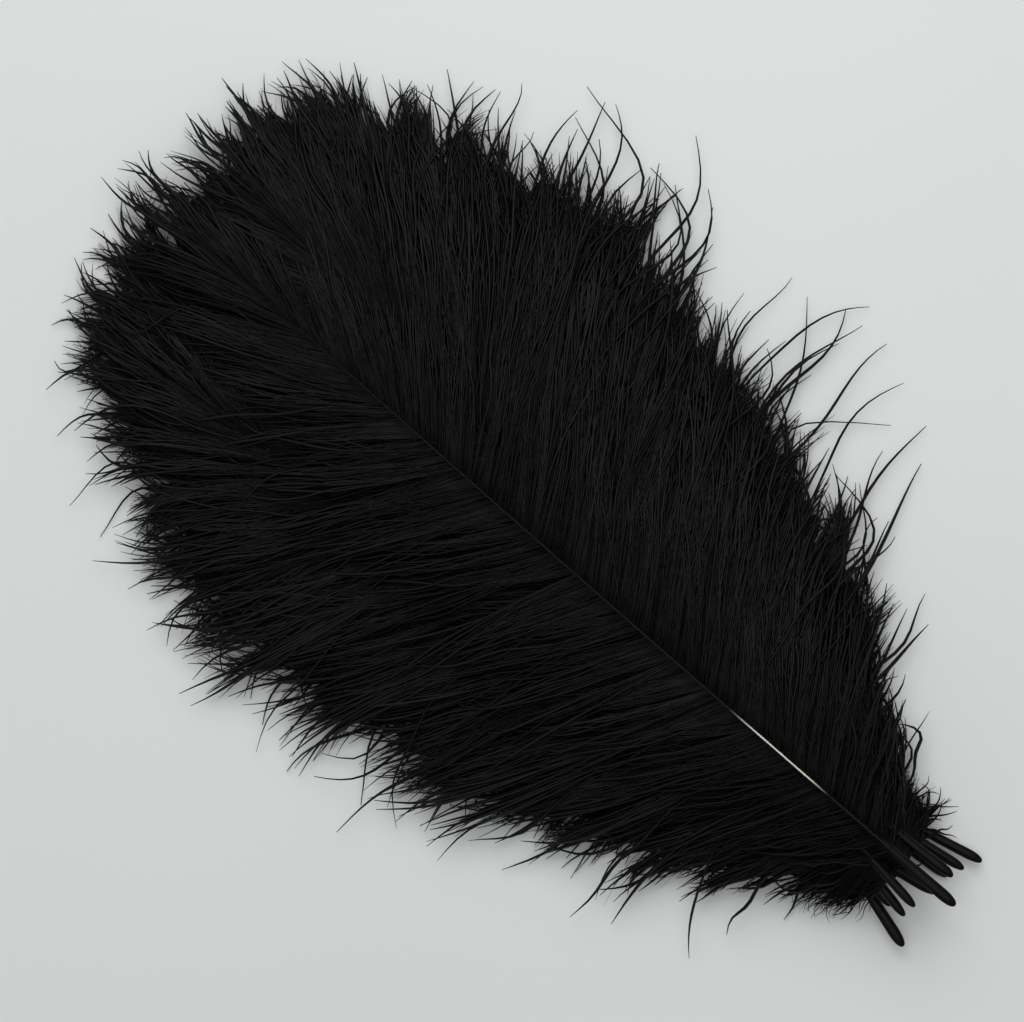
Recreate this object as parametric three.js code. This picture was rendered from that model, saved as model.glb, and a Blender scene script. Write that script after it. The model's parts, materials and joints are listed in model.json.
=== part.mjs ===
import * as THREE from 'three';

// A bunch of ten dyed ostrich plumes, fanned and lying one on another on a flat surface.
// Millimetres and degrees. +X runs from quill to tip along the top plume and +Z is up. The
// origin is on the surface, under the point where the shafts cross. Places along a plume are
// measured from that point, so its quill is at negative places and its tip at positive ones.

// The stack: each plume has a layer of its own. Layers are full height around the crossing
// point and get thinner towards the tips, so the stack slopes down to the surface, and a plume
// that turns about the crossing point stays inside its layer.
const LAYER_HEIGHT = 2.8;
const LAYER_CLEARANCE = 0.4;
const TIP_FLATTENING = 0.42;
const FLAT_RADIUS = 82;
const TIP_RADIUS = 285;

// The plumes, from the bottom to the top. turn: how far the plume is turned from +X. side: how
// far its shaft passes from the crossing point. back: from the crossing point to the quill's
// end. reach: from the crossing point to the tip. bow and hook: how far the shaft curves
// sideways by its tip and by its quill's end. quill: the quill's width. swell: how far along
// the vane its barbs reach their full length. straggle: how much longer the longest locks of
// its right vane are.
const PLUMES = [
  { turn: 3.5, side: 0, back: 74, reach: 272, bow: -4, hook: -1, quill: 3.7, swell: 100, straggle: 0 },
  { turn: 9.6, side: 0, back: 80.5, reach: 268, bow: -7, hook: -3, quill: 3.5, swell: 100, straggle: 0 },
  { turn: -13.7, side: 0, back: 80.3, reach: 266, bow: 7, hook: 2, quill: 3.9, swell: 62, straggle: 18 },
  { turn: 6.9, side: 0, back: 76.5, reach: 272, bow: -5, hook: -1.5, quill: 3.4, swell: 100, straggle: 0 },
  { turn: -11.8, side: 0, back: 67, reach: 262, bow: -3, hook: 0, quill: 3.9, swell: 100, straggle: 10 },
  { turn: 8, side: 13, back: 73, reach: 262, bow: -9, hook: -2, quill: 4.3, swell: 100, straggle: 0 },
  { turn: -9.8, side: 0, back: 72, reach: 272, bow: 6, hook: 1, quill: 3.2, swell: 100, straggle: 0 },
  { turn: -3, side: -6, back: 73.5, reach: 262, bow: -13, hook: -4.5, quill: 3.6, swell: 100, straggle: 6 },
  { turn: -7.1, side: 0, back: 71.5, reach: 278, bow: 5, hook: 0, quill: 3.2, swell: 100, straggle: 0 },
  { turn: 0, side: 0, back: 80.3, reach: 280, bow: -3, hook: 0, quill: 4, swell: 100, straggle: 0 },
];

// The shaft, wider than it is high, with a flat underside. The quill narrows where the down
// starts and is rounded at its end.
const SHAFT_HEIGHT = LAYER_HEIGHT - LAYER_CLEARANCE;
const SHAFT_TIP_WIDTH = 0.7;
const SHAFT_TIP_HEIGHT = 0.8;
const SHAFT_RINGS = 22;
const QUILL_LENGTH = 34;
const QUILL_NECK = 0.62;
const QUILL_ROUNDING = 2.2;
const SHAFT_SECTION = [
  [-0.36, 0], [0.36, 0], [0.5, 0.28], [0.5, 0.66],
  [0.3, 1], [-0.3, 1], [-0.5, 0.66], [-0.5, 0.28],
];

// The barbs, which lean towards the tip and bend further towards it along their length.
const BARB_GAP = 0.3;
const BARB_LEAN = 60;
const BARB_BEND = 14;
const TIP_LEAN = 6;
const BASE_BARB = 26;
const LONG_BARB = 76;
const TIP_BARB = 52;
const VANE_START = -53;
const VANE_SWELL_POWER = 0.55;
const VANE_TAPER_START = 125;
const VANE_STATIONS = 27;
const LOCK_NOTCH = 0.88;
const STRAGGLE_EVERY = 4;
const VANE_THICKNESS = 0.8;
const BARB_END_THICKNESS = 0.3;
const OUTER_SIDE_BARB = 1.1;

// The down, which is short and stands out more squarely, between the vane and the bare quill.
const DOWN_START = -61;
const DOWN_END = -55.5;
const DOWN_LEAN = 74;
const DOWN_LENGTH = 9;
const DOWN_END_LENGTH = 19;
const DOWN_STATIONS = 5;

const MATERIALS = {
  quill: { color: 0x0d0d0e, roughness: 0.35, metalness: 0 },
  barbs: { color: 0x16171a, roughness: 0.8, metalness: 0 },
  down: { color: 0x1b1b1d, roughness: 0.95, metalness: 0 },
};

const { clamp, degToRad, lerp, smoothstep } = THREE.MathUtils;

// A closed body through rings of equally many points, with a flat fan of triangles at each end.
function loft(rings) {
  const count = rings[0].length;
  const last = (rings.length - 1) * count;
  const index = [];
  for (let r = 0; r < rings.length - 1; r++) {
    for (let k = 0; k < count; k++) {
      const a = r * count + k;
      const b = r * count + ((k + 1) % count);
      index.push(a, b, b + count, a, b + count, a + count);
    }
  }
  for (let k = 1; k < count - 1; k++) {
    index.push(0, k + 1, k, last, last + k, last + k + 1);
  }
  const geometry = new THREE.BufferGeometry();
  geometry.setAttribute('position', new THREE.Float32BufferAttribute(rings.flat(2), 3));
  geometry.setIndex(index);
  geometry.computeVertexNormals();
  return geometry;
}

// The share of its full height that a layer has at a distance from the crossing point.
function layerShare(x, y) {
  return 1 - TIP_FLATTENING * smoothstep(Math.hypot(x, y), FLAT_RADIUS, TIP_RADIUS);
}

// A point of a plume's layer: height is 0 on the layer's floor and is in full-layer millimetres.
function inLayer(layer, x, y, height) {
  return [x, y, (layer * LAYER_HEIGHT + height) * layerShare(x, y)];
}

function shaftEnd(plume) {
  return plume.reach - TIP_BARB;
}

function shaftSideways(plume, place) {
  const share = place > 0 ? place / plume.reach : place / plume.back;
  return plume.side + (place > 0 ? plume.bow : plume.hook) * share * share;
}

function shaftHeading(plume, place) {
  return shaftSideways(plume, place + 0.5) - shaftSideways(plume, place - 0.5);
}

// 0 at the quill's end and 1 at the shaft's tip.
function alongShaft(plume, place) {
  return clamp((place + plume.back) / (shaftEnd(plume) + plume.back), 0, 1);
}

function shaftWidth(plume, place) {
  const neck = lerp(1, QUILL_NECK, smoothstep(place + plume.back, QUILL_LENGTH / 3, QUILL_LENGTH));
  return lerp(plume.quill * neck, SHAFT_TIP_WIDTH, alongShaft(plume, place));
}

function shaft(plume, layer) {
  const ring = (place, share) => {
    const width = shaftWidth(plume, place) * share;
    const height = lerp(SHAFT_HEIGHT, SHAFT_TIP_HEIGHT, alongShaft(plume, place) ** 2) * share;
    const middle = (SHAFT_HEIGHT - height) / 2;
    const floor = share < 1 ? middle : 0;
    return SHAFT_SECTION.map(([across, up]) => inLayer(
      layer, place, shaftSideways(plume, place) + across * width, floor + up * height,
    ));
  };
  const start = -plume.back;
  const rings = [ring(start, 0.4), ring(start + QUILL_ROUNDING * 0.35, 0.8)];
  const step = (shaftEnd(plume) - start - QUILL_ROUNDING) / (SHAFT_RINGS - 1);
  for (let i = 0; i < SHAFT_RINGS; i++) {
    rings.push(ring(start + QUILL_ROUNDING + i * step, 1));
  }
  return loft(rings);
}

// One barb's slab as a ring: out along the layer's floor and back along the top. hand is 1 for
// the left side and -1 for the right side, seen from the quill.
function barbRing(plume, layer, hand, place, lean, bend, length) {
  const heading = Math.atan(shaftHeading(plume, place));
  const rootY = shaftSideways(plume, place) + hand * (shaftWidth(plume, place) / 2 + BARB_GAP);
  const point = (along, height) => {
    const angle = heading + hand * degToRad(lean - (bend * along) / 2);
    const x = place + length * along * Math.cos(angle);
    const y = rootY + length * along * Math.sin(angle);
    return inLayer(layer, x, y, height);
  };
  const middleHeight = lerp(VANE_THICKNESS, BARB_END_THICKNESS, 0.5);
  const out = [point(0, 0), point(0.5, 0), point(1, 0)];
  const back = [
    point(1, BARB_END_THICKNESS * SHAFT_HEIGHT),
    point(0.5, middleHeight * SHAFT_HEIGHT),
    point(0, VANE_THICKNESS * SHAFT_HEIGHT),
  ];
  const ring = [...out, ...back];
  return hand > 0 ? ring : ring.reverse();
}

// A vane: slabs from barb to barb, each second one shorter, so that its edge is cut into locks.
function vane(plume, layer, hand) {
  const end = shaftEnd(plume);
  const rings = [];
  for (let i = 0; i < VANE_STATIONS; i++) {
    const place = lerp(VANE_START, end, i / (VANE_STATIONS - 1));
    const swell = clamp((place - VANE_START) / plume.swell, 0, 1) ** VANE_SWELL_POWER;
    const taper = clamp((place - VANE_TAPER_START) / (end - VANE_TAPER_START), 0, 1);
    const side = hand * plume.turn > 0 ? OUTER_SIDE_BARB : 1;
    const full = lerp(lerp(BASE_BARB, LONG_BARB * side, swell), TIP_BARB, taper);
    const straggle = hand < 0 && i % STRAGGLE_EVERY === 0 ? plume.straggle * swell * (1 - taper) : 0;
    const length = full * (i % 2 ? LOCK_NOTCH : 1) + straggle;
    rings.push(barbRing(plume, layer, hand, place, lerp(BARB_LEAN, TIP_LEAN, taper),
      BARB_BEND * (1 - taper), length));
  }
  return loft(rings);
}

function down(plume, layer, hand) {
  const rings = [];
  for (let i = 0; i < DOWN_STATIONS; i++) {
    const share = i / (DOWN_STATIONS - 1);
    const place = Math.max(lerp(DOWN_START, DOWN_END, share), -plume.back + QUILL_ROUNDING);
    rings.push(barbRing(plume, layer, hand, place, lerp(DOWN_LEAN, BARB_LEAN, share), BARB_BEND,
      lerp(DOWN_LENGTH, DOWN_END_LENGTH, share)));
  }
  return loft(rings);
}

function piece(name, geometry, finish) {
  const mesh = new THREE.Mesh(geometry, new THREE.MeshStandardMaterial(MATERIALS[finish]));
  mesh.name = name;
  return mesh;
}

const bunch = new THREE.Group();
PLUMES.forEach((plume, layer) => {
  const name = `plume_${String(layer + 1).padStart(2, '0')}`;
  const feather = new THREE.Group();
  feather.rotation.z = degToRad(plume.turn);
  feather.add(
    piece(`${name}_shaft`, shaft(plume, layer), 'quill'),
    piece(`${name}_left_vane`, vane(plume, layer, 1), 'barbs'),
    piece(`${name}_right_vane`, vane(plume, layer, -1), 'barbs'),
    piece(`${name}_left_down`, down(plume, layer, 1), 'down'),
    piece(`${name}_right_down`, down(plume, layer, -1), 'down'),
  );
  bunch.add(feather);
});

export default bunch;
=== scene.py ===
"""A fanned bunch of ten black ostrich plumes on a pale sheet, seen from straight above.

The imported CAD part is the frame. Each plume's shaft gives the place of its barbs, and each vane
and tuft of down is replaced by its separate barbs. Metres, +X from quill to tip, +Z up.
"""

import json
import math

import bpy
import numpy as np
from mathutils import Matrix, Vector

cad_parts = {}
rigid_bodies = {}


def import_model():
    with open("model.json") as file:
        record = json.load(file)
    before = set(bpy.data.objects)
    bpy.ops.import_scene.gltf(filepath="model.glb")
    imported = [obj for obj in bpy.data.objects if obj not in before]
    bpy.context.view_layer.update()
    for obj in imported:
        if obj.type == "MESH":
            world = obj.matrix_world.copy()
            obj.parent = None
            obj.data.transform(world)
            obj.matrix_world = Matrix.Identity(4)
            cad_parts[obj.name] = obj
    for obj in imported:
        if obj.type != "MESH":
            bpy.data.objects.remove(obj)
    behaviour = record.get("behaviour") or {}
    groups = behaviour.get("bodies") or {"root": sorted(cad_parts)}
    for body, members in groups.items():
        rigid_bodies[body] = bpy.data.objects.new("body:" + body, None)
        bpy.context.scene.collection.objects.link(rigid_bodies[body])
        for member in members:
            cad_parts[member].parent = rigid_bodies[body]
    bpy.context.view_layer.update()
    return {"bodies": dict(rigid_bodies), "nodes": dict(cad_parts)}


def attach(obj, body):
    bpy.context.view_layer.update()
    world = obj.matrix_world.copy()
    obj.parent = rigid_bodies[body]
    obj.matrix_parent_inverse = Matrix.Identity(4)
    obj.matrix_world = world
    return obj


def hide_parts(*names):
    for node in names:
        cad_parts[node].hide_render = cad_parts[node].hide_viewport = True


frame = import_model()
MM = 0.001
SEED = 4107

# The camera looks straight down on the middle of the bunch, with the quills at the lower right.
VIEW_CENTRE = (0.1092, -0.0022)
VIEW_PLANE = 0.020
VIEW_WIDTH = 0.3277
VIEW_ROLL = math.radians(139.0)
LENS = 320.0
SENSOR = 36.0

# Barbs, in millimetres and degrees, measured along a plume from the crossing point.
VANE_START = -53.0
VANE_SWELL = 100.0
QUICK_SWELL = {"plume_03": 62.0}
VANE_SWELL_POWER = 0.55
VANE_TAPER_START = 125.0
BASE_BARB = 26.0
LONG_BARB = 76.0
TIP_BARB = 52.0
OUTER_SIDE_BARB = 1.1
BARB_LEAN = 60.0
BARB_BEND = 14.0
TIP_LEAN = 4.0
BARB_POINTS = 16
ROOT_SHARE = 0.14

# The three sorts of barb in a vane: how many, how wide, and how much of a full barb they reach.
SORTS = (
    {"count": 760, "width": 0.86, "reach": (0.86, 0.98)},
    {"count": 860, "width": 0.27, "reach": (0.5, 0.95)},
    {"count": 190, "width": 1.3, "reach": (0.95, 1.1)},
)
HAIR, WIDE = 1, 2

# Barbs hang together in small locks within large ones. pitch is the stretch of shaft that a lock
# takes up, and the rest say how much the locks differ: degrees, a share of length, millimetres.
SMALL_LOCKS = {
    "pitch": (1.6, 4.2), "lean": 2.4, "bend": 8, "curl": 22, "length": 0.045, "lift": 0.7,
}
LARGE_LOCKS = {"pitch": (7, 18), "lean": 2.2, "bend": 5, "curl": 8, "length": 0.03, "lift": 0.9}
STRAY_SHARE = 0.03
WIDE_STRAY_SHARE = 0.1

# Painted shade near the quills: barbs there are darkened in their colour. The share of their tone
# left at the foot, and where the darkening ends.
FOOT_PAINTED_SHADE = 0.15
FOOT_PAINTED_SHADE_END = 25.0

# Loose barbs beyond the edge: many on the plumes that lie furthest to the right, few elsewhere.
LOOSE_SIDE_TURN = math.radians(-9)
LOOSE_WHISKERS = 17
FEW_WHISKERS = 5

# Down at the foot of each vane, and longer sorts where the outermost quills are: an even edge on
# the left of the bunch and a few thick loose barbs on its right.
DOWN_LOW, DOWN_HIGH = -60.0, -46.0
OUTER_DOWN_TURN = math.radians(-6)
DOWN = {"count": 170, "length": (10, 21), "lean": (38, 80), "curl": 24, "body": (0.35, 0.75)}
EDGE_DOWN = {"count": 80, "length": (16, 27), "lean": (58, 105), "curl": 24, "body": (0.4, 0.85)}
LOOSE_DOWN = {"count": 12, "length": (13, 25), "lean": (80, 150), "curl": 32, "body": (0.8, 1.35)}

# Strands have a triangular section. One map gives each strand's shade and the place along it.
SIDES = 3
STRAND_UV = "strand"
# The exporter keeps a map that has the name it gives its own, so this one is what it bakes to.
BAKE_UV = "OFBake"

# Shafts: points round the CAD's section, rings of it that only round off the quill, and the
# rings and sides of the finer shaft.
SECTION_POINTS = 8
ROUNDED_RINGS = 2
SHAFT_STEPS = 140
SHAFT_SIDES = 20
QUILL_ROUNDING = 6.0

# A painted highlight, a pale line along the ridge of the highest shaft, in metres: the stretch
# along X as start, full, full, end, and how far from the ridge line the painted highlight ends and
# is full.
HIGHLIGHT_STRETCH = (-0.027, -0.016, 0.003, 0.016)
HIGHLIGHT_EDGE, HIGHLIGHT_FULL = 0.00044, 0.00014
HIGHLIGHT_COLOUR = (0.72, 0.66, 0.56, 1)

# Disk lights, in metres and watts, aimed at the bunch.
LIGHT_AIM = (0.1, 0, 0)
WINDOW = {"place": (0.595, -0.5625, 0.95), "size": 1.0, "power": 7.0}
OVERHEAD = {"place": (0.15, 0.0, 1.3), "size": 1.3, "power": 5.0}
ROOM_COLOUR = (0.96, 0.98, 1.0, 1)
ROOM_STRENGTH = 0.38


# ---------------------------------------------------------------- small helpers

def smooth(x, low, high):
    t = np.clip((x - low) / (high - low), 0, 1)
    return t * t * (3 - 2 * t)


def mix(a, b, t):
    return a + (b - a) * t


def mesh_object(name, verts, faces_by_size, uv=None):
    """A mesh from verts (n, 3) in metres and faces_by_size, a list of (count, corners) arrays."""
    mesh = bpy.data.meshes.new(name)
    loops = np.concatenate([f.ravel() for f in faces_by_size])
    sizes = np.concatenate([np.full(len(f), f.shape[1]) for f in faces_by_size])
    starts = np.concatenate([[0], np.cumsum(sizes)[:-1]])
    mesh.vertices.add(len(verts))
    mesh.vertices.foreach_set("co", np.asarray(verts, np.float32).ravel())
    mesh.loops.add(len(loops))
    mesh.loops.foreach_set("vertex_index", loops.astype(np.int32))
    mesh.polygons.add(len(sizes))
    mesh.polygons.foreach_set("loop_start", starts.astype(np.int32))
    mesh.polygons.foreach_set("use_smooth", np.full(len(sizes), True))
    if uv is not None:
        layer = mesh.uv_layers.new(name=BAKE_UV)
        layer.data.foreach_set("uv", np.asarray(uv, np.float32).ravel())
    mesh.update(calc_edges=True)
    mesh.validate()
    piece = bpy.data.objects.new(name, mesh)
    bpy.context.scene.collection.objects.link(piece)
    return piece


# ---------------------------------------------------------------- strands

def strands(name, paths, widths, shades):
    """Closed tapering strands of triangular section along paths (n, m, 3), widths (n, m), in mm."""
    n, m, _ = paths.shape
    tangent = np.gradient(paths, axis=1)
    tangent /= np.linalg.norm(tangent, axis=2, keepdims=True) + 1e-9
    side = np.cross(tangent, np.array([0.0, 0.0, 1.0]))
    side /= np.linalg.norm(side, axis=2, keepdims=True) + 1e-9
    up = np.cross(side, tangent)
    angle = np.arange(SIDES) * 2 * np.pi / SIDES + np.pi / 2
    ring = np.cos(angle)[:, None] * side[:, :, None, :] + np.sin(angle)[:, None] * up[:, :, None, :]
    verts = paths[:, :, None, :] + ring * widths[:, :, None, None] / 2
    base = (np.arange(n) * m * SIDES)[:, None, None] + (np.arange(m - 1) * SIDES)[None, :, None]
    k = np.arange(SIDES)[None, None, :]
    a = base + k
    b = base + (k + 1) % SIDES
    quads = np.stack([a, b, b + SIDES, a + SIDES], axis=-1).reshape(-1, 4)
    first = (np.arange(n) * m * SIDES)[:, None]
    starts = first + np.arange(SIDES)[::-1][None, :]
    ends = first + (m - 1) * SIDES + np.arange(SIDES)[None, :]
    piece = mesh_object(name, verts.reshape(-1, 3) * MM, [quads, starts, ends], strand_uv(n, m))
    along = np.linspace(0, 1, m)
    corner_along = along[np.arange(m - 1)[None, :, None, None] + np.array([0, 0, 1, 1])]
    corner_along = np.broadcast_to(corner_along, (n, m - 1, SIDES, 4)).reshape(-1)
    corner_shade = np.repeat(shades, (m - 1) * SIDES * 4)
    cap_shade = np.repeat(shades, SIDES)
    u = np.concatenate([corner_shade, cap_shade, cap_shade])
    v = np.concatenate([corner_along, np.zeros(n * SIDES), np.ones(n * SIDES)])
    layer = piece.data.uv_layers.new(name=STRAND_UV)
    layer.data.foreach_set("uv", np.stack([u, v], axis=-1).astype(np.float32).ravel())
    return piece


def strand_uv(n, m):
    """Each strand has a cell of the map, with the way round it across and its length up."""
    columns = math.ceil(math.sqrt(n))
    cell = 1 / columns
    column = (np.arange(n) % columns)[:, None, None, None]
    row = (np.arange(n) // columns)[:, None, None, None]
    j = np.arange(m - 1)[None, :, None, None]
    k = np.arange(SIDES)[None, None, :, None]
    across = k + np.array([0, 1, 1, 0])
    along = j + np.array([0, 0, 1, 1])
    u = (column + 0.1 + 0.8 * across / SIDES) * cell + 0 * along
    v = (row + 0.1 + 0.8 * along / (m - 1)) * cell + 0 * across
    quads = np.stack([u, v], axis=-1).reshape(-1, 2)
    cap_u = np.broadcast_to((column[..., 0] + 0.5) * cell, (n, 1, SIDES)).reshape(-1)
    start_v = np.broadcast_to((row[..., 0] + 0.1) * cell, (n, 1, SIDES)).reshape(-1)
    end_v = np.broadcast_to((row[..., 0] + 0.9) * cell, (n, 1, SIDES)).reshape(-1)
    return np.concatenate([quads, np.stack([cap_u, start_v], -1), np.stack([cap_u, end_v], -1)])


# ---------------------------------------------------------------- plumes, read from the frame

class Plume:
    """One plume's shaft as curves over the place along it, in mm, in the plume's own frame."""

    def __init__(self, name, layer):
        self.name = name
        self.layer = layer
        mesh = frame["nodes"][f"{name}_shaft"].data
        points = np.array([v.co for v in mesh.vertices]) / MM
        points = np.unique(points.round(3), axis=0)
        ends = points[[points[:, 0].argmin(), points[:, 0].argmax()]]
        direction = (ends[1] - ends[0])[:2]
        self.turn = math.atan2(direction[1], direction[0])
        local = self.to_own(points)
        local = local[local[:, 0].argsort()]
        whole = len(local) // SECTION_POINTS * SECTION_POINTS
        rings = local[:whole].reshape(-1, SECTION_POINTS, 3)
        low, high = rings.min(axis=1), rings.max(axis=1)
        places = rings[:, :, 0].mean(axis=1)
        self.start, self.end = places[0], places[-1]
        self.places = places[ROUNDED_RINGS:]
        self.centres = ((low[:, 1] + high[:, 1]) / 2)[ROUNDED_RINGS:]
        self.widths = (high[:, 1] - low[:, 1])[ROUNDED_RINGS:]
        self.floors = low[ROUNDED_RINGS:, 2]
        self.heights = (high[:, 2] - low[:, 2])[ROUNDED_RINGS:]

    def to_own(self, points):
        c, s = math.cos(-self.turn), math.sin(-self.turn)
        x, y = points[..., 0], points[..., 1]
        return np.stack([c * x - s * y, s * x + c * y, points[..., 2]], axis=-1)

    def to_row(self, points):
        c, s = math.cos(self.turn), math.sin(self.turn)
        x, y = points[..., 0], points[..., 1]
        return np.stack([c * x - s * y, s * x + c * y, points[..., 2]], axis=-1)

    def centre(self, place):
        return np.interp(place, self.places, self.centres)

    def heading(self, place):
        return np.arctan2(self.centre(place + 6) - self.centre(place - 6), 12.0)

    def width(self, place):
        return np.interp(place, self.places, self.widths)

    def floor(self, place):
        return np.interp(place, self.places, self.floors)

    def height(self, place):
        return np.interp(place, self.places, self.heights)


# ---------------------------------------------------------------- barbs

def barb_length(plume, hand, place):
    foot = QUICK_SWELL.get(plume.name, VANE_SWELL)
    swell = np.clip((place - VANE_START) / foot, 0, 1) ** VANE_SWELL_POWER
    taper = np.clip((place - VANE_TAPER_START) / (plume.end - VANE_TAPER_START), 0, 1)
    outer = OUTER_SIDE_BARB if hand * plume.turn > math.radians(2) else 1.0
    full = mix(mix(BASE_BARB, LONG_BARB * outer, swell), TIP_BARB, taper)
    return full, taper


def barb_path(plume, hand, place, lean, bend, curl, length, t):
    """Barbs in plan: they leave the shaft at lean, turn by bend and curl at the end."""
    turn = bend[:, None] * t + curl[:, None] * smooth(t, 0.72, 1.0)
    angle = plume.heading(place)[:, None] + hand * np.radians(lean[:, None] - turn)
    step = length[:, None] * np.diff(t, prepend=0.0)[None, :]
    x = place[:, None] + np.cumsum(np.cos(angle) * step, axis=1)
    root = plume.centre(place) + hand * plume.width(place) * ROOT_SHARE
    y = root[:, None] + np.cumsum(np.sin(angle) * step, axis=1)
    return np.stack([x, y], axis=-1)


class Locks:
    """The barbs of a vane in locks, each with its own lean, bend, curl, length, lift and shade."""

    def __init__(self, rng, plume, place, pitch, lean, bend, curl, length, lift):
        edges = [VANE_START - 1]
        while edges[-1] < plume.end + 1:
            edges.append(edges[-1] + rng.uniform(*pitch))
        edges = np.array(edges)
        count = len(edges) - 1
        self.of = np.clip(np.searchsorted(edges, place) - 1, 0, count - 1)
        self.place = ((edges[:-1] + edges[1:]) / 2).clip(VANE_START, plume.end)[self.of]
        self.lean = rng.normal(0, lean, count)[self.of]
        self.bend = rng.normal(0, bend, count)[self.of]
        self.curl = rng.normal(0, curl, count)[self.of]
        lengths = rng.normal(1, length, count)
        self.length = lengths.clip(1 - 2 * length, 1 + 2 * length)[self.of]
        self.lift = rng.normal(0, lift, count)[self.of]
        self.shade = rng.random(count)[self.of]


def vane_places(plume, rng, count):
    """Roots of barbs along the shaft, closer together at its foot and towards the tip."""
    share = np.sort(mix((np.arange(count) + 0.5) / count, rng.random(count), 0.25))
    share = (share - share[0]) / (share[-1] - share[0])
    return mix(VANE_START, plume.end, share - 0.32 * np.sin(2 * np.pi * share) / (2 * np.pi))


def barb_width(body, t, root, tip):
    """Full at two thirds of the barb, narrower at the root, and drawn out to a point."""
    point = 1 - (1 - tip) * np.clip((t - 0.74) / 0.26, 0, 1) ** 1.25
    shape = mix(root, 1.0, smooth(t, 0.15, 0.75)) * point
    return body[:, None] * shape[None, :]


def vane_strands(plume, hand, rng):
    """The barbs of one vane. hand is 1 for the left of the shaft and -1 for the right."""
    t = np.linspace(0, 1, BARB_POINTS) ** 0.85
    place = np.concatenate([vane_places(plume, rng, sort["count"]) for sort in SORTS])
    sort = np.repeat(np.arange(len(SORTS)), [sort["count"] for sort in SORTS])
    count = len(place)
    full, taper = barb_length(plume, hand, place)

    small = Locks(rng, plume, place, **SMALL_LOCKS)
    large = Locks(rng, plume, place, **LARGE_LOCKS)
    calm = 1 - 0.4 * taper
    stray = rng.random(count) < np.where(sort == WIDE, WIDE_STRAY_SHARE, STRAY_SHARE)
    group_lean = mix(BARB_LEAN, TIP_LEAN, taper) + (small.lean + large.lean) * calm
    group_bend = BARB_BEND * (1 - taper) + small.bend + large.bend
    group_curl = small.curl + large.curl
    lean = group_lean + rng.normal(0, 1.2, count) + np.where(stray, rng.normal(0, 7, count), 0)
    bend = group_bend + rng.normal(0, 3, count) + np.where(stray, rng.normal(0, 20, count), 0)
    curl = group_curl + rng.normal(0, np.where(sort == WIDE, 26, 14), count)
    low, high = (np.array([sort["reach"][end] for sort in SORTS])[sort] for end in (0, 1))
    reach = mix(rng.uniform(low, high), 0.97, 0.45 * taper)
    length = full * small.length * large.length * reach

    own = barb_path(plume, hand, place, lean, bend, curl, length, t)
    lock = barb_path(plume, hand, small.place, group_lean, group_bend, group_curl, length, t)
    wide_hold, other_hold = rng.uniform(0.1, 0.6, count), rng.uniform(0.4, 0.85, count)
    hold = np.where(stray, 0.0, np.where(sort == WIDE, wide_hold, other_hold))
    plan = mix(own, lock, (hold[:, None] * smooth(t, 0.45, 1.0)[None, :])[:, :, None])

    swing = rng.uniform(0.2, 1.2, count)[:, None] * smooth(t, 0.0, 0.5)[None, :]
    phase = rng.uniform(0, 2 * np.pi, count)[:, None]
    turns = rng.uniform(0.8, 3.0, count)[:, None]
    sway = swing * np.sin(phase + turns * 2 * np.pi * t[None, :])
    across = plume.heading(place) + hand * np.radians(lean) + np.pi / 2
    aside = np.stack([np.cos(across), np.sin(across)], axis=-1)
    plan = plan + sway[:, :, None] * aside[:, None, :]

    root = plume.floor(place) + plume.height(place)
    rest = 0.7 + 0.5 * plume.layer + np.abs(small.lift) + np.abs(rng.normal(0, 0.5, count))
    loft = 2.2 + 0.5 * small.lift + 0.7 * large.lift + rng.normal(0, 0.3, count)
    loft = loft - np.where(sort == HAIR, 0, 0.8)
    z = mix(root[:, None], rest[:, None], t[None, :] ** 1.9) + loft[:, None] * 4 * t * (1 - t)

    body = np.array([sort["width"] for sort in SORTS])[sort] * rng.uniform(0.75, 1.2, count)
    shade = mix(0.5, 0.4 * small.shade + 0.2 * large.shade + 0.4 * rng.random(count), 0.75)
    # painted shade: barb colour darkened towards the quills
    shade = shade * mix(FOOT_PAINTED_SHADE, 1.0, smooth(place, VANE_START, FOOT_PAINTED_SHADE_END))
    return plan, np.maximum(z, 0.7), barb_width(body, t, 0.42, 0.16), shade


def whisker_strands(plume, hand, rng):
    """Long barbs that have come loose and stand beyond the edge of the vane."""
    loose = hand < 0 and plume.turn < LOOSE_SIDE_TURN
    count = LOOSE_WHISKERS if loose else FEW_WHISKERS
    t = np.linspace(0, 1, BARB_POINTS) ** 0.55
    foot_gap, tip_gap = (48, 45) if loose else (30, 12)
    place = rng.uniform(VANE_START + foot_gap, plume.end - tip_gap, count)
    full, taper = barb_length(plume, hand, place)
    longer = rng.uniform(1.12, 1.4 if loose else 1.18, count)
    lean = mix(BARB_LEAN + 2, TIP_LEAN + 8, taper) + rng.normal(0, 5, count)
    bend = BARB_BEND * (1 - taper) + rng.normal(0, 16, count)
    plan = barb_path(plume, hand, place, lean, bend, rng.normal(0, 22, count), full * longer, t)
    amount = rng.normal(0, 7.5, count)[:, None] * smooth(t, 0.3, 1.0)[None, :]
    wave = rng.uniform(0.9, 1.7, count)[:, None]
    curve = amount * np.sin(2 * np.pi * wave * (t[None, :] - 0.3))
    across = plume.heading(place) + hand * np.radians(lean) + np.pi / 2
    aside = np.stack([np.cos(across), np.sin(across)], axis=-1)
    plan = plan + curve[:, :, None] * aside[:, None, :]
    root = plume.floor(place) + plume.height(place) * 0.9
    rest = 1.0 + 0.5 * plume.layer + np.abs(rng.normal(0, 1.0, count))
    loft = rng.uniform(0, 2.5, count)
    z = mix(root[:, None], rest[:, None], t[None, :] ** 1.5) + loft[:, None] * 4 * t * (1 - t)
    width = barb_width(rng.uniform(0.95, 1.4, count), t, 0.3, 0.22)
    return plan, np.maximum(z, 0.9), width, rng.random(count) * 0.4


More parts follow.
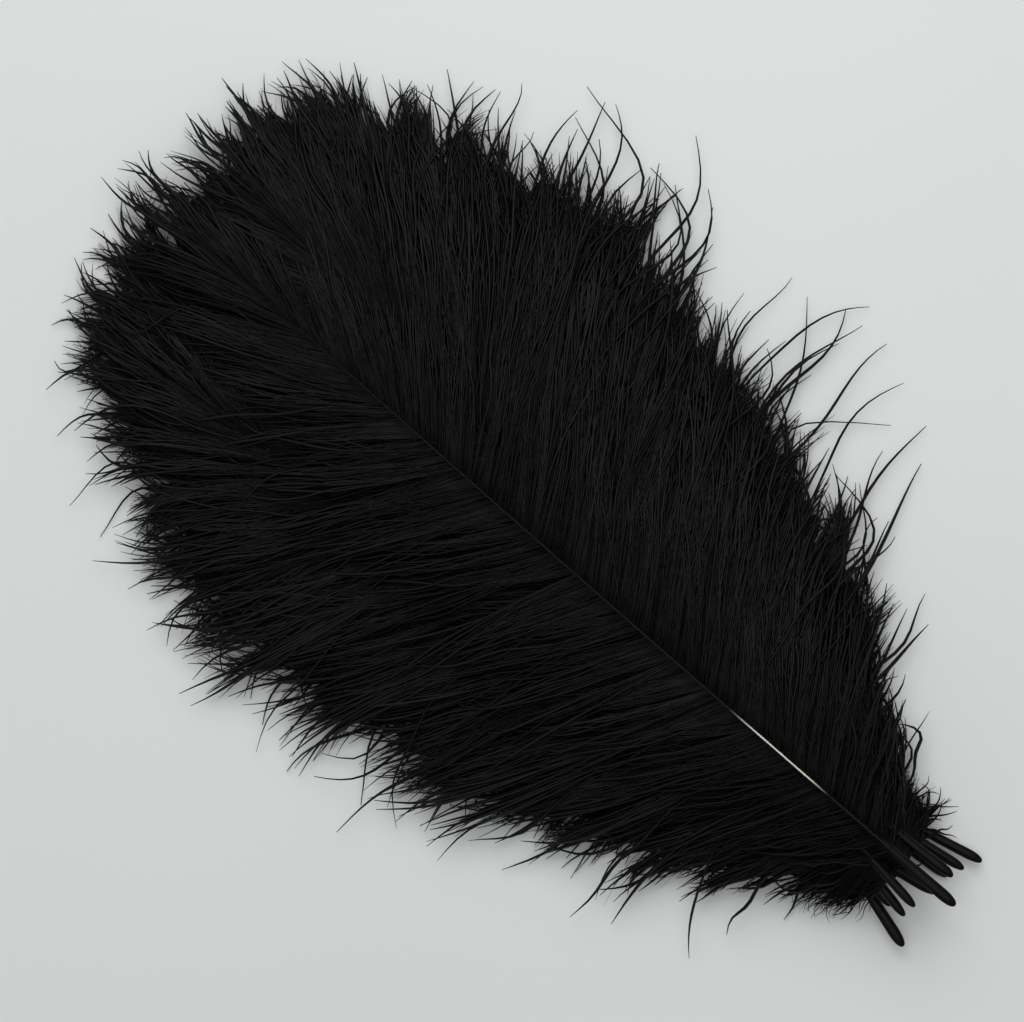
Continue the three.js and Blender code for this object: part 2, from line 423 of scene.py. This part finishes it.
def join_strands(plume, groups):
    """Groups of strands as one, in the row frame: paths in mm, widths and shades."""
    plan, z, width, shade = (np.concatenate(parts) for parts in zip(*groups))
    return plume.to_row(np.concatenate([plan, z[:, :, None]], axis=-1)), width, shade


# ---------------------------------------------------------------- down

def down_strands(plume, hand, rng, count, length, lean, curl, body):
    """Short curling barbs at the foot of a vane. length, lean and body are ranges."""
    t = np.linspace(0, 1, BARB_POINTS)
    place = np.maximum(rng.uniform(DOWN_LOW, DOWN_HIGH, count), plume.start + 6)
    share = smooth(place, DOWN_LOW, DOWN_HIGH)
    reach = rng.uniform(*length, count) * mix(0.55, 1.0, share)
    leans = rng.uniform(*lean, count)
    bend = rng.normal(8, curl, count)
    plan = barb_path(plume, hand, place, leans, bend, rng.normal(0, curl, count), reach, t)
    wave = rng.uniform(0.2, 0.9, count)[:, None] * t[None, :]
    phase = rng.uniform(0, 6.3, (count, 1))
    wave = wave * np.sin(phase + rng.uniform(5, 14, (count, 1)) * t[None, :])
    across = plume.heading(place) + hand * np.radians(leans) + np.pi / 2
    aside = np.stack([np.cos(across), np.sin(across)], axis=-1)
    plan = plan + wave[:, :, None] * aside[:, None, :]
    root = plume.floor(place) + plume.height(place) * 0.6
    rest = 0.7 + 0.5 * plume.layer + np.abs(rng.normal(0, 1.5, count))
    z = mix(root[:, None], rest[:, None], t[None, :] ** 1.5)
    width = rng.uniform(*body, count)[:, None] * (1 - 0.85 * t[None, :] ** 2)
    return plan, np.maximum(z, 0.4), width, rng.random(count) * 0.6


def foot_strands(plume, hand, rng):
    """The down, with an even edge on the left of the quills and a few thick barbs on the right."""
    groups = [down_strands(plume, hand, rng, **DOWN)]
    if hand * plume.turn < OUTER_DOWN_TURN:
        more = EDGE_DOWN if hand > 0 else LOOSE_DOWN
        groups.append(down_strands(plume, hand, rng, **more))
    return groups


# ---------------------------------------------------------------- shafts

def shaft_piece(plume):
    """The shaft with a round section, a groove along its underside and a long rounded quill end."""
    place = plume.start + (plume.end - plume.start) * np.linspace(0, 1, SHAFT_STEPS) ** 2.2
    into = np.clip((place - plume.start) / QUILL_ROUNDING, 0, 1)
    cap = np.maximum(1 - (1 - into) ** 2, 0.004) ** 0.42
    turn = np.linspace(0, 2 * np.pi, SHAFT_SIDES, endpoint=False)
    across, up = np.cos(turn), np.sin(turn)
    groove = 0.22 * np.exp(-((across / 0.22) ** 2)) * (up < 0)
    half_width = plume.width(place) / 2 * cap
    half_height = plume.height(place) / 2 * cap
    middle = plume.floor(place) + plume.height(place) / 2
    x = np.repeat(place[:, None], SHAFT_SIDES, axis=1)
    y = plume.centre(place)[:, None] + half_width[:, None] * across[None, :]
    z = middle[:, None] + half_height[:, None] * (up + groove)[None, :]
    verts = plume.to_row(np.stack([x, y, z], axis=-1)).reshape(-1, 3) * MM
    i = np.arange(SHAFT_STEPS - 1)[:, None] * SHAFT_SIDES
    k = np.arange(SHAFT_SIDES)[None, :]
    k2 = (k + 1) % SHAFT_SIDES
    corners = [i + k, i + SHAFT_SIDES + k, i + SHAFT_SIDES + k2, i + k2]
    quads = np.stack(corners, axis=-1).reshape(-1, 4)
    start = np.arange(SHAFT_SIDES)[None, :]
    end = ((SHAFT_STEPS - 1) * SHAFT_SIDES + np.arange(SHAFT_SIDES)[::-1])[None, :]
    return mesh_object(f"{plume.name}_shaft_fine", verts, [quads, start, end])


# ---------------------------------------------------------------- materials

def new_material(name):
    material = bpy.data.materials.new(name)
    material.use_nodes = True
    nodes = material.node_tree.nodes
    return material, nodes, material.node_tree.links, nodes["Principled BSDF"]


def ramp(nodes, stops):
    node = nodes.new("ShaderNodeValToRGB")
    elements = node.color_ramp.elements
    while len(elements) < len(stops):
        elements.new(0.5)
    for element, (position, colour) in zip(elements, stops):
        element.position = position
        element.color = (*colour, 1)
    return node


def barb_material(name, dark, light, roughness):
    """Dyed barbs: the colour and gloss vary from barb to barb and along each one."""
    material, nodes, links, shader = new_material(name)
    strand = nodes.new("ShaderNodeUVMap")
    strand.uv_map = STRAND_UV
    parts = nodes.new("ShaderNodeSeparateXYZ")
    links.new(strand.outputs["UV"], parts.inputs["Vector"])
    coordinates = nodes.new("ShaderNodeTexCoord")
    noise = nodes.new("ShaderNodeTexNoise")
    noise.inputs["Scale"].default_value = 45
    noise.inputs["Detail"].default_value = 5
    links.new(coordinates.outputs["Object"], noise.inputs["Vector"])
    tone = nodes.new("ShaderNodeMath")
    tone.operation = "MULTIPLY_ADD"
    links.new(noise.outputs["Fac"], tone.inputs[0])
    tone.inputs[1].default_value = 0.7
    links.new(parts.outputs["X"], tone.inputs[2])
    colours = ramp(nodes, [(0.35, dark), (1.0, light)])
    links.new(tone.outputs["Value"], colours.inputs["Fac"])
    links.new(colours.outputs["Color"], shader.inputs["Base Color"])
    gloss = nodes.new("ShaderNodeMapRange")
    gloss.inputs["To Min"].default_value = roughness + 0.1
    gloss.inputs["To Max"].default_value = roughness - 0.1
    links.new(parts.outputs["X"], gloss.inputs["Value"])
    links.new(gloss.outputs["Result"], shader.inputs["Roughness"])
    shader.inputs["Specular IOR Level"].default_value = 0.13
    return material


def quill_material(name, highlight_stretch=None):
    """Dyed keratin. The optional stretch, in metres along X, gets a painted highlight along the
    ridge.
    """
    material, nodes, links, shader = new_material(name)
    coordinates = nodes.new("ShaderNodeTexCoord")
    stretch = nodes.new("ShaderNodeMapping")
    stretch.inputs["Scale"].default_value = (60, 1400, 1400)
    links.new(coordinates.outputs["Object"], stretch.inputs["Vector"])
    streaks = nodes.new("ShaderNodeTexNoise")
    streaks.inputs["Scale"].default_value = 1
    streaks.inputs["Detail"].default_value = 5
    links.new(stretch.outputs["Vector"], streaks.inputs["Vector"])
    colours = ramp(nodes, [(0.3, (0.0008, 0.0008, 0.0009)), (0.75, (0.0026, 0.0025, 0.0024))])
    shader.inputs["Specular IOR Level"].default_value = 0.11
    links.new(streaks.outputs["Fac"], colours.inputs["Fac"])
    gloss = nodes.new("ShaderNodeMapRange")
    gloss.inputs["To Min"].default_value = 0.24
    gloss.inputs["To Max"].default_value = 0.42
    links.new(streaks.outputs["Fac"], gloss.inputs["Value"])
    links.new(gloss.outputs["Result"], shader.inputs["Roughness"])
    bump = nodes.new("ShaderNodeBump")
    bump.inputs["Strength"].default_value = 0.25
    bump.inputs["Distance"].default_value = 0.0001
    links.new(streaks.outputs["Fac"], bump.inputs["Height"])
    links.new(bump.outputs["Normal"], shader.inputs["Normal"])
    if highlight_stretch is None:
        links.new(colours.outputs["Color"], shader.inputs["Base Color"])
        return material
    parts = nodes.new("ShaderNodeSeparateXYZ")
    links.new(coordinates.outputs["Object"], parts.inputs["Vector"])
    low_start, low_full, high_full, high_end = highlight_stretch
    rise = nodes.new("ShaderNodeMapRange")
    rise.interpolation_type = "SMOOTHSTEP"
    rise.inputs["From Min"].default_value = low_start
    rise.inputs["From Max"].default_value = low_full
    fall = nodes.new("ShaderNodeMapRange")
    fall.interpolation_type = "SMOOTHSTEP"
    fall.inputs["From Min"].default_value = high_end
    fall.inputs["From Max"].default_value = high_full
    links.new(parts.outputs["X"], rise.inputs["Value"])
    links.new(parts.outputs["X"], fall.inputs["Value"])
    both = nodes.new("ShaderNodeMath")
    both.operation = "MULTIPLY"
    links.new(rise.outputs["Result"], both.inputs[0])
    links.new(fall.outputs["Result"], both.inputs[1])
    off_ridge = nodes.new("ShaderNodeMath")
    off_ridge.operation = "ABSOLUTE"
    links.new(parts.outputs["Y"], off_ridge.inputs[0])
    ridge = nodes.new("ShaderNodeMapRange")
    ridge.inputs["From Min"].default_value = HIGHLIGHT_EDGE
    ridge.inputs["From Max"].default_value = HIGHLIGHT_FULL
    links.new(off_ridge.outputs["Value"], ridge.inputs["Value"])
    # painted highlight: pale colour along the ridge line over the stretch
    painted_highlight = nodes.new("ShaderNodeMath")
    painted_highlight.operation = "MULTIPLY"
    links.new(both.outputs["Value"], painted_highlight.inputs[0])
    links.new(ridge.outputs["Result"], painted_highlight.inputs[1])
    blend = nodes.new("ShaderNodeMix")
    blend.data_type = "RGBA"
    links.new(painted_highlight.outputs["Value"], blend.inputs["Factor"])
    links.new(colours.outputs["Color"], blend.inputs["A"])
    blend.inputs["B"].default_value = HIGHLIGHT_COLOUR
    links.new(blend.outputs["Result"], shader.inputs["Base Color"])
    return material


def floor_material():
    material, nodes, links, shader = new_material("sheet")
    coordinates = nodes.new("ShaderNodeTexCoord")
    noise = nodes.new("ShaderNodeTexNoise")
    noise.inputs["Scale"].default_value = 2.5
    links.new(coordinates.outputs["Object"], noise.inputs["Vector"])
    colours = ramp(nodes, [(0.3, (0.70, 0.71, 0.705)), (0.7, (0.73, 0.74, 0.735))])
    links.new(noise.outputs["Fac"], colours.inputs["Fac"])
    links.new(colours.outputs["Color"], shader.inputs["Base Color"])
    shader.inputs["Roughness"].default_value = 0.9
    return material


# ---------------------------------------------------------------- stage

def add_camera():
    data = bpy.data.cameras.new("camera")
    data.lens = LENS
    data.sensor_width = SENSOR
    camera = bpy.data.objects.new("camera", data)
    bpy.context.scene.collection.objects.link(camera)
    height = VIEW_WIDTH * LENS / SENSOR
    place = Matrix.Translation((*VIEW_CENTRE, VIEW_PLANE + height))
    camera.matrix_world = place @ Matrix.Rotation(-VIEW_ROLL, 4, "Z")
    bpy.context.scene.camera = camera


def add_floor():
    bpy.ops.mesh.primitive_plane_add(size=6, location=(0.1, 0, 0))
    floor = bpy.context.object
    floor.name = "floor"
    floor.data.materials.append(floor_material())


def add_light(name, place, size, power):
    data = bpy.data.lights.new(name, "AREA")
    data.shape = "DISK"
    data.size = size
    data.energy = power
    lamp = bpy.data.objects.new(name, data)
    bpy.context.scene.collection.objects.link(lamp)
    lamp.location = place
    lamp.visible_camera = False
    lamp.rotation_euler = (Vector(LIGHT_AIM) - Vector(place)).to_track_quat("-Z", "Y").to_euler()


def add_world():
    world = bpy.data.worlds.new("soft_room")
    world.use_nodes = True
    background = world.node_tree.nodes["Background"]
    background.inputs["Color"].default_value = ROOM_COLOUR
    background.inputs["Strength"].default_value = ROOM_STRENGTH
    bpy.context.scene.world = world


# ---------------------------------------------------------------- the bunch

add_camera()
add_floor()
add_world()
add_light("window", **WINDOW)
add_light("overhead", **OVERHEAD)
bpy.context.scene.view_settings.view_transform = "Standard"

barbs_finish = barb_material(
    "barbs", dark=(0.0026, 0.0027, 0.0027), light=(0.0072, 0.0074, 0.0074), roughness=0.56
)
down_finish = barb_material(
    "down", dark=(0.0008, 0.0008, 0.0008), light=(0.0022, 0.0022, 0.0023), roughness=0.75
)
quill_finish = quill_material("quill")
# the highest shaft gets a painted highlight along its ridge
top_quill_finish = quill_material("top_quill", highlight_stretch=HIGHLIGHT_STRETCH)


def add_piece(piece, material, body, node):
    piece.data.materials.append(material)
    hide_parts(node)
    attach(piece, body)


plumes = [Plume(name, layer) for layer, name in enumerate(sorted(frame["bodies"]))]
for plume in plumes:
    rng = np.random.default_rng(SEED + plume.layer)
    finish = top_quill_finish if plume is plumes[-1] else quill_finish
    add_piece(shaft_piece(plume), finish, plume.name, f"{plume.name}_shaft")
    for word, hand in (("left", 1), ("right", -1)):
        groups = [vane_strands(plume, hand, rng), whisker_strands(plume, hand, rng)]
        barbs = strands(f"{plume.name}_{word}_barbs", *join_strands(plume, groups))
        add_piece(barbs, barbs_finish, plume.name, f"{plume.name}_{word}_vane")
        groups = foot_strands(plume, hand, rng)
        fluff = strands(f"{plume.name}_{word}_fluff", *join_strands(plume, groups))
        add_piece(fluff, down_finish, plume.name, f"{plume.name}_{word}_down")
